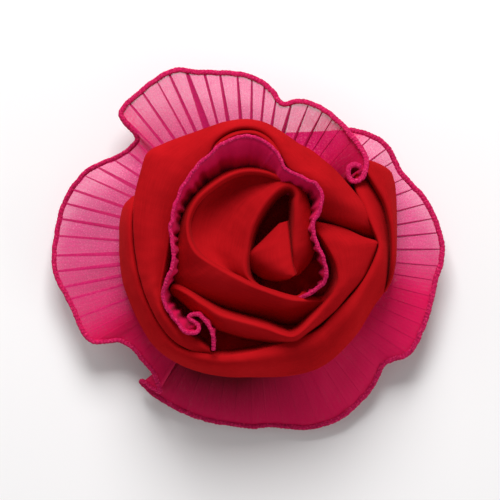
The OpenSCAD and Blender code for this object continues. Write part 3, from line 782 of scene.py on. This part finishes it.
class FLOWER_OT_satin(bpy.types.Operator):
    """Rolls the folded satin strip into the rose, turn by turn"""
    bl_idname = "flower.satin"
    bl_label = "Satin rose"

    def execute(self, context):
        stretches = [
            ("bud_point", POINT_ROWS, 8.0, (0.4, 8.0), 0.5, 2.0, 7, ["satin_tongue"], 60),
            ("bud_roll", BUD_ROWS, 12.0, (-0.4, 5.0), 1.1, 1.6, 1, ["satin_bud"], 200),
            ("turn_1", TURN_1_ROWS, 4.0, (1.2, 8.0), 0.8, 1.12, 2, ["satin_turn_1"], 190),
            ("turn_2", TURN_2_ROWS, 14.0, (1.0, 9.0), 0.8, 1.3, 3, ["satin_turn_2"], 170),
            ("top_lining", TOP_LINING_ROWS, 12.0, (0.4, 8.0), 0.6, 1.5, 8, [], 80),
            ("turn_3", TURN_3_ROWS, 14.0, (-1.5, 16.0), 0.8, 2.0, 4, ["satin_turn_3"], 220),
            ("turn_4", TURN_4_ROWS, 19.0, (-5.5, 7.0), 0.8, 1.6, 5, ["satin_turn_4"], 220),
            ("strip_end", STRIP_END_ROWS, 5.0, (-6.0, 3.4), 0.7, 1.6, 6, [], 90)]
        for name, rows, wall, skirt, fold, fall, seed, nodes, steps in stretches:
            piece, flat = satin_strip(name, rows, wall, skirt, seed, steps, fold, fall)
            placed(piece, "red_satin", *nodes)
        return {"FINISHED"}


class FLOWER_OT_core(bpy.types.Operator):
    """Gathers the strip's sewn edge under the rose"""
    bl_idname = "flower.core"
    bl_label = "Rose's gathered core"

    def execute(self, context):
        rings, spokes = 16, 120
        places = np.empty((spokes + 1, rings, 3))
        for i in range(spokes + 1):
            a = 2 * math.pi * (i % spokes) / spokes
            for j in range(rings):
                r = 36.2 * (1 - j / (rings - 1)) + 0.4
                gather = math.sin(a * 17 + r * 0.25) * 0.5 * min(1.0, r / 12)
                x, y = r * math.cos(a) + 0.5, r * math.sin(a) - 0.5
                rise = 10.0 * min(1.0, (36.6 - r) / 4.0) ** 0.7
                places[i, j] = rose_point(x, y, 14.0 + rise + gather + ripple(x / 9, y / 9, 91))
        bm = cloth_grid(places, 0.12, 0.033, closed=True)
        hole = [e for e in bm.edges if e.is_boundary and e.verts[0].co.xy.length < 0.005]
        bmesh.ops.holes_fill(bm, edges=hole, sides=0)
        face_up(bm)
        piece = new_piece("rose_core", bm)
        placed(piece, "red_satin")
        return {"FINISHED"}


class FLOWER_OT_inner_ruffle(bpy.types.Operator):
    """Gathers the inner organza ruffle between the bud and the outer turns"""
    bl_idname = "flower.inner_ruffle"
    bl_label = "Inner ruffle"

    def execute(self, context):
        sizes = context.scene.flower_sizes
        middle = np.array([-2.0, -2.0])
        steps, across = 520, 16
        rows = curve_through(INNER_EDGE_ROWS, steps)
        edge = np.array([rose_point(x, y, z) for x, y, z, _ in rows])
        places = np.empty((steps, across, 3))
        pressed = np.zeros((steps, across))
        fold_from, fold_to = np.array([6.9, 29.4]), np.array([2.6, 23.4])
        fold_way = (fold_to - fold_from) / np.linalg.norm(fold_to - fold_from)
        run = 0.0

        def wiggle(at):
            return (0.07 * math.sin(at * 1.35 + 2.5 * ripple(at * 0.12, 5.0, 13))
                    + 0.34 * ripple(at * 0.30, 6.0, 14))

        for i, (x, y, z, inset) in enumerate(rows):
            if i:
                run += math.dist(rows[i][:2], rows[i - 1][:2])
            to_middle = middle - np.array([x, y])
            to_middle /= np.linalg.norm(to_middle)
            tuck = math.sin(run * 1.7 + 2 * ripple(run * 0.2, 3.0, 12)) * 0.45
            tuck = tuck * (1.0 - 0.8 * min(1.0, max(0.0, (inset - 4.0) / 4.0)))
            tuck += ripple(run * 0.35, 0.0, 11) * 0.7
            edge[i] += np.array([*(to_middle * wiggle(run)), 0.0]) * ROSE_MM
            for j in range(across):
                t = 1 - j / (across - 1)
                fall = t ** 0.9
                waver = tuck * min(1.0, t * 2.2) + wiggle(run) * (1 - t)
                place = np.array([x, y]) + to_middle * (inset * fall + waver)
                from_fold = place - fold_from
                aside = abs(from_fold[0] * fold_way[1] - from_fold[1] * fold_way[0])
                if from_fold @ fold_way > -1.0 and place[1] > 15.0:
                    pressed[i, j] = max(0.0, 1.0 - aside / 0.5)
                raised = 0.5 * pressed[i, j]
                places[i, j] = rose_point(place[0], place[1], z + raised - 14.5 * t ** 1.35)
        shares = np.zeros((steps, across, 3))
        shares[:, :, 1] = 1.0 - 0.2 * pressed
        # painted shade down the inner ruffle's wall, darkest at its sewn root
        shares[:, :, 2] = np.linspace(0.15, 0.0, across)
        bm = cloth_grid(places, length_of(edge), length_of(places[steps // 3]), shares=shares)
        face_up(bm)
        cloth = new_piece("inner_ruffle", bm)
        placed(cloth, "pink_organza", "ruffle_inner")
        path = wavered(curve_through(edge, 1700), 0.00016, 0.00015, 0.05, 0.035, 21)
        rim = cord("inner_edging", path, (sizes.edging_width * 0.74, sizes.edging_width * 0.62),
                   10, sizes.stitch_pitch * 0.8, 0.05)
        placed(rim, "overlock_thread", "ruffle_inner_edging")
        return {"FINISHED"}


class FLOWER_OT_outer_ruffle(bpy.types.Operator):
    """Pleats the outer organza ruffle round the rose and overlocks its rim"""
    bl_idname = "flower.outer_ruffle"
    bl_label = "Outer ruffle"

    def execute(self, context):
        sizes = context.scene.flower_sizes
        fine = curve_through(OUTER_EDGE_ROWS, 4200)
        run = run_along(fine)
        total = run[-1]
        turn = np.unwrap(np.arctan2(fine[:, 1], fine[:, 0]))
        turn = np.maximum.accumulate(turn)
        reach = 90
        kernel = np.hanning(2 * reach + 1)
        kernel /= kernel.sum()
        turn = np.convolve(np.pad(turn, reach, mode="edge"), kernel, mode="valid")

        def rim_at(s):
            return np.array([np.interp(s, run, fine[:, k]) for k in range(3)])

        def nearest(x, y):
            return float(run[np.argmin(np.hypot(fine[:, 0] - x, fine[:, 1] - y))])

        marks = [nearest(*place) for place, *_ in LIE]

        def lie_at(s, column):
            return float(np.interp(s, marks, [row[column] for row in LIE]))

        def root_at(s):
            """A point of the sewn root, which starts nearer the rose and higher."""
            a = float(np.interp(s, run, turn))
            share = min(1.0, s / 52.0)
            ease = share * share * (3 - 2 * share)
            r = 26.0 + 8.0 * ease
            return np.array([r * math.cos(a), r * math.sin(a), 16.0 - 2.0 * ease])

        # places along the rim, and how each layer of a tuck is lifted
        pitch = sizes.tuck_pitch * 1000
        wide = sizes.tuck_width * 1000
        wide_at = nearest(-20.5, 53.8)
        tucks = []
        s = 1.5
        while s < total - 2.0:
            k = len(tucks)
            widened = wide * (2.0 if abs(s - wide_at) < 0.8 * pitch else 1.0)
            slack = lie_at(s, 3)
            at_root = widened * (2.2 + 1.7 * ripple(k * 1.7, 0.0, 31))
            at_rim = widened * (0.8 + 0.6 * ripple(k * 2.3, 1.0, 32))
            tucks.append((s, at_rim * slack, at_root * slack, slack))
            s += pitch * (1.0 + 0.42 * ripple(k * 1.3, 3.0, 33))
        columns = [(0.0,) * 5]
        for (s, rim_w, root_w, slack), after in zip(tucks, tucks[1:] + [None]):
            for place, lift, folded in (
                    (-0.6, 0.0, 0.0), (-0.5, 0.0, 1.0), (0.5, 0.06, 1.0), (0.5, 0.16, 1.0),
                    (-0.5, 0.22, 1.0), (-0.5, 0.32, 1.0), (0.5, 0.36, 1.0), (0.6, 0.34, 0.0)):
                columns.append((s, place * rim_w, place * root_w, lift * slack, folded))
            if after:
                for share, lift in ((0.33, 0.26), (0.66, 0.12)):
                    rim_s = (s + 0.6 * rim_w) * (1 - share) + (after[0] - 0.6 * after[1]) * share
                    root_s = (s + 0.6 * root_w) * (1 - share) + (after[0] - 0.6 * after[2]) * share
                    columns.append((s, rim_s - s, root_s - s, lift * slack, 0.0))
        columns.append((total, 0.0, 0.0, 0.0, 0.0))

        across = 26
        places = np.empty((len(columns), across, 3))
        folds = np.empty((len(columns), across, 3))
        for i, (s, rim_shift, root_shift, lift, folded) in enumerate(columns):
            for j in range(across):
                t = j / (across - 1)
                shift = root_shift + (rim_shift - root_shift) * t
                at = min(max(s + shift, 0.0), total)
                rim, root = rim_at(at), root_at(at)
                xy = root[:2] + (rim[:2] - root[:2]) * t
                z = root[2] + (rim[2] - root[2]) * t ** 1.35
                puff = math.sin(math.pi * t) * (0.5 * ripple(at * 0.09, t * 2.0, 41)
                                                + 0.22 * ripple(at * 0.45, t * 3.0, 42))
                z += puff + lift * (0.35 + 0.65 * math.sin(math.pi * min(1.0, t * 1.1)))
                places[i, j] = ruffle_point(xy[0], xy[1], z)
                # painted shade: darker towards the root in deep folds, in the rose's shadow and in
                # the curled end's cavity
                curl_shade = 0.30 if s < 24 else 0.0
                deep = lie_at(at, 2) * (1.6 - 1.45 * t) + curl_shade * (1 - t) ** 2
                folds[i, j] = folded, lie_at(at, 1), deep
        bm = cloth_grid(places, total * RUFFLE_MM, 0.022, shares=folds)
        face_up(bm)
        cloth = new_piece("outer_ruffle", bm)
        placed(cloth, "pink_organza", "ruffle_outer")

        edge = curve_through(OUTER_EDGE_ROWS[:-3], 3400)
        path = np.array([ruffle_point(x, y, z + 0.1) for x, y, z in edge])
        wavered(path, 0.00022, 0.00025, 0.045, 0.03, 51)
        rim = cord("outer_edging", path, (sizes.edging_width, sizes.edging_width * 0.72), 10,
                   sizes.stitch_pitch, 0.04)
        placed(rim, "overlock_thread", "ruffle_outer_edging")
        return {"FINISHED"}


def disc(name, node, bevel, wobble):
    """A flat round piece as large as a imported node, with a soft and slightly uneven edge."""
    box_low, box_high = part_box(node)
    radius, low, high = (box_high[0] - box_low[0]) / 2, box_low[2], box_high[2]
    bm = bmesh.new()
    bmesh.ops.create_cone(bm, cap_ends=True, segments=128, radius1=radius, radius2=radius,
                          depth=high - low, matrix=Matrix.Translation((0, 0, (low + high) / 2)))
    rims = [e for e in bm.edges if len(e.link_faces) == 2
            and abs(e.link_faces[0].normal.z - e.link_faces[1].normal.z) > 0.5]
    bmesh.ops.bevel(bm, geom=rims, offset=bevel, segments=3, affect="EDGES", profile=0.5,
                    material=-1)
    for vert in bm.verts:
        a = math.atan2(vert.co.y, vert.co.x)
        grow = 1 + wobble * ripple(math.cos(a) * 9, math.sin(a) * 9, 61)
        vert.co.x *= grow
        vert.co.y *= grow
    return new_piece(name, bm, smooth=False)


class FLOWER_OT_backing(bpy.types.Operator):
    """Cuts the net foundation and the felt backing"""
    bl_idname = "flower.backing"
    bl_label = "Backing discs"

    def execute(self, context):
        net = disc("foundation_net", "foundation_disc", 0.0003, 0.004)
        placed(net, "buckram", "foundation_disc")

        felt = disc("felt_disc", "felt_backing", 0.0005, 0.006)
        placed(felt, "felt", "felt_backing")
        return {"FINISHED"}


class FLOWER_OT_strap(bpy.types.Operator):
    """Lays the felt strap over the clip's upper arm"""
    bl_idname = "flower.strap"
    bl_label = "Strap"

    def execute(self, context):
        low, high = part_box("felt_strap")
        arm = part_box("clip_upper_arm")
        half = (arm[1][1] - arm[0][1]) / 2
        under, over = low[2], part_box("felt_backing")[0][2] - STRAP_T
        span = (high[1] - low[1]) / 2
        profile = [(-span, over), (-span * 0.7, over), (-half - 0.0019, over),
                   (-half - 0.0012, (under + over) / 2), (-half - 0.0004, under),
                   (-half * 0.5, under), (0.0, under)]
        profile += [(-y, z) for y, z in reversed(profile[:-1])]
        middle = (low[0] + high[0]) / 2
        wide = (high[0] - low[0]) / 2
        bm = bmesh.new()
        first = None
        for y, z in profile:
            pair = [bm.verts.new((middle - wide, y, z)), bm.verts.new((middle + wide, y, z))]
            if first:
                bm.faces.new((first[0], first[1], pair[1], pair[0]))
            first = pair
        bmesh.ops.recalc_face_normals(bm, faces=bm.faces)
        if sum(f.normal.z for f in bm.faces) < 0:
            bmesh.ops.reverse_faces(bm, faces=bm.faces)
        bmesh.ops.solidify(bm, geom=bm.faces, thickness=-STRAP_T)
        edges = [e for e in bm.edges if len(e.link_faces) == 2
                 and e.calc_face_angle(0.0) > 1.2]
        bmesh.ops.bevel(bm, geom=edges, offset=0.00025, segments=2, affect="EDGES", profile=0.5,
                        material=-1)
        strap = new_piece("strap", bm, smooth=False)
        placed(strap, "felt", "felt_strap")
        return {"FINISHED"}


class FLOWER_OT_stitches(bpy.types.Operator):
    """Sews the felt round its edge, clear of the clip"""
    bl_idname = "flower.stitches"
    bl_label = "Stitches"

    def execute(self, context):
        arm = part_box("clip_upper_arm")
        clip_side = (arm[1][1] - arm[0][1]) / 2 + 0.0005
        low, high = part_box("felt_backing")
        inner = (high[0] - low[0]) / 2 - STITCH_L - 0.001
        count = 20
        bm = bmesh.new()
        for k in range(count):
            a = 2 * math.pi * (k + 0.5) / count
            if abs(inner * math.sin(a)) < clip_side:
                continue
            lean = 0.16 * ripple(k * 1.1, 0.0, 71)
            out = Vector((math.cos(a), math.sin(a), 0))
            side = Vector((-math.sin(a), math.cos(a), 0))
            start = out * inner + side * STITCH_L * lean
            end = out * (inner + STITCH_L) - side * STITCH_L * lean
            shape = bmesh.ops.create_uvsphere(bm, u_segments=10, v_segments=9, radius=1.0)
            along = end - start
            centre = (start + end) / 2
            across_dir = Vector((0, 0, 1)).cross(along.normalized())
            for vert in shape["verts"]:
                p = vert.co.copy()
                bulge = math.copysign(abs(p.x) ** 0.55, p.x)
                vert.co = (centre + along * 0.5 * bulge + across_dir * p.y * 0.00026
                           + Vector((0, 0, low[2] - 0.00008 + p.z * 0.00024)))
        bmesh.ops.recalc_face_normals(bm, faces=bm.faces)
        uv = bm.loops.layers.uv.new("UVMap")
        for face in bm.faces:
            for loop in face.loops:
                loop[uv].uv = (loop.vert.co.xy.length, loop.vert.co.z)
        stitches = new_piece("stitches", bm)
        placed(stitches, "sewing_thread", "backing_stitches")
        return {"FINISHED"}


class FLOWER_OT_glue(bpy.types.Operator):
    """Spreads the glue between the felt and the clip"""
    bl_idname = "flower.glue"
    bl_label = "Glue"

    def execute(self, context):
        low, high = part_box("glue_pad")
        bm = bmesh.new()
        bmesh.ops.create_cube(bm, size=1.0)
        span = Vector(high) - Vector(low)
        bmesh.ops.scale(bm, vec=(span.x, span.y, span.z), verts=bm.verts)
        bmesh.ops.translate(bm, vec=(Vector(low) + Vector(high)) / 2, verts=bm.verts)
        bmesh.ops.subdivide_edges(bm, edges=bm.edges, cuts=5, use_grid_fill=True)
        for vert in bm.verts:
            y_side = abs(vert.co.y) / (span.y / 2)
            if y_side > 0.95:
                vert.co.y *= 1.0 + 0.17 * (ripple(vert.co.x * 260, vert.co.y * 40, 81) + 0.35)
        glue = new_piece("glue_bead", bm)
        subdivided(glue, 2)
        placed(glue, "glue", "glue_pad")
        return {"FINISHED"}


class FLOWER_OT_clip(bpy.types.Operator):
    """Finishes the clip's steel parts"""
    bl_idname = "flower.clip"
    bl_label = "Clip"

    def execute(self, context):
        for node in ("clip_upper_arm", "clip_lower_jaw", "clip_pin"):
            finished(bpy.data.objects[node], "clip_steel")
        return {"FINISHED"}


class FLOWER_OT_spring(bpy.types.Operator):
    """Winds the torsion spring between the clip's finger tabs"""
    bl_idname = "flower.spring"
    bl_label = "Spring"

    def execute(self, context):
        low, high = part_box("clip_spring")
        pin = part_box("clip_pin")
        centre = (Vector(pin[0]) + Vector(pin[1])) / 2
        half = (high[1] - low[1]) / 2 - WIRE_D / 2
        coil_r = (centre.x - low[0]) - WIRE_D / 2
        leg_x = high[0]
        turns = 4.5
        rows = [(leg_x, -half, high[2] - WIRE_D / 2)]
        steps = 16
        for k in range(int(turns * steps) + 1):
            a = math.pi / 2 + 2 * math.pi * k / steps
            rows.append((centre.x + coil_r * math.cos(a), half * (2 * k / (turns * steps) - 1),
                         centre.z + coil_r * math.sin(a)))
        rows.append((leg_x, half, low[2] + WIRE_D / 2))
        path = curve_through(rows, 620)
        piece = cord("torsion_spring", path, (WIRE_D, WIRE_D), 12)
        finished(piece, "spring_wire")
        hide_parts("clip_spring")
        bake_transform(piece)
        return {"FINISHED"}


class FLOWER_OT_stage(bpy.types.Operator):
    """Lays the floor, lights it softly and sets the camera above the flower"""
    bl_idname = "flower.stage"
    bl_label = "Stage"

    def execute(self, context):
        scene = context.scene
        bm = bmesh.new()
        bmesh.ops.create_grid(bm, x_segments=2, y_segments=2, size=3.0)
        floor = new_piece("floor", bm, smooth=False)
        floor_finish((0.93, 0.92, 0.925))
        finished(floor, "studio_floor")

        world = bpy.data.worlds.new("studio")
        scene.world = world
        world.use_nodes = True
        world.node_tree.nodes["Background"].inputs["Color"].default_value = (1, 0.99, 0.985, 1)
        world.node_tree.nodes["Background"].inputs["Strength"].default_value = 0.26

        for name, place, size, power in (
                ("key", (-0.04, 0.72, 0.66), 0.48, 11.0), ("right", (0.80, -0.62, 0.28), 0.6, 3.3),
                ("left", (-0.95, -0.10, 0.30), 0.6, 1.4)):
            light = bpy.data.lights.new(name, "AREA")
            light.energy = power
            light.size = size
            lamp = bpy.data.objects.new(name, light)
            lamp.location = place
            lamp.rotation_euler = (Vector((0, 0, 0.02)) - Vector(place)).to_track_quat(
                "-Z", "Y").to_euler()
            scene.collection.objects.link(lamp)

        camera = bpy.data.cameras.new("camera")
        camera.sensor_width = 36.0
        distance, rim_z = 1.5, 0.010
        camera.lens = camera.sensor_width * (distance - rim_z) / (VIEW_W * RUFFLE_MM)
        camera.clip_start, camera.clip_end = 0.01, 20.0
        body = bpy.data.objects.new("camera", camera)
        body.location = (0.0, 0.0, distance)
        scene.collection.objects.link(body)
        scene.camera = body
        scene.view_settings.view_transform = "Standard"
        return {"FINISHED"}


class FLOWER_PT_panel(bpy.types.Panel):
    """Lists the flower clip's pieces"""
    bl_idname = "FLOWER_PT_panel"
    bl_label = "Flower clip"
    bl_space_type = "VIEW_3D"
    bl_region_type = "UI"
    bl_category = "Flower clip"

    def draw(self, context):
        for group in (context.scene.flower_sizes, context.scene.flower_colours):
            for key in group.__annotations__:
                self.layout.prop(group, key)
        for operator in STEPS:
            self.layout.operator(operator.bl_idname)


STEPS = (FLOWER_OT_finishes, FLOWER_OT_satin, FLOWER_OT_core, FLOWER_OT_inner_ruffle,
         FLOWER_OT_outer_ruffle, FLOWER_OT_backing, FLOWER_OT_strap, FLOWER_OT_stitches,
         FLOWER_OT_glue, FLOWER_OT_clip, FLOWER_OT_spring, FLOWER_OT_stage)
CLASSES = (FlowerColours, FlowerSizes, *STEPS, FLOWER_PT_panel)


def register():
    for cls in CLASSES:
        bpy.utils.register_class(cls)
    bpy.types.Scene.flower_colours = bpy.props.PointerProperty(type=FlowerColours)
    bpy.types.Scene.flower_sizes = bpy.props.PointerProperty(type=FlowerSizes)


def unregister():
    del bpy.types.Scene.flower_sizes
    del bpy.types.Scene.flower_colours
    for cls in reversed(CLASSES):
        bpy.utils.unregister_class(cls)


def main():
    register()
    bpy.ops.flower.finishes()
    bpy.ops.flower.satin()
    bpy.ops.flower.core()
    bpy.ops.flower.inner_ruffle()
    bpy.ops.flower.outer_ruffle()
    bpy.ops.flower.backing()
    bpy.ops.flower.strap()
    bpy.ops.flower.stitches()
    bpy.ops.flower.glue()
    bpy.ops.flower.clip()
    bpy.ops.flower.spring()
    bpy.ops.flower.stage()
    bpy.context.view_layer.update()


if __name__ == "__main__":
    main()
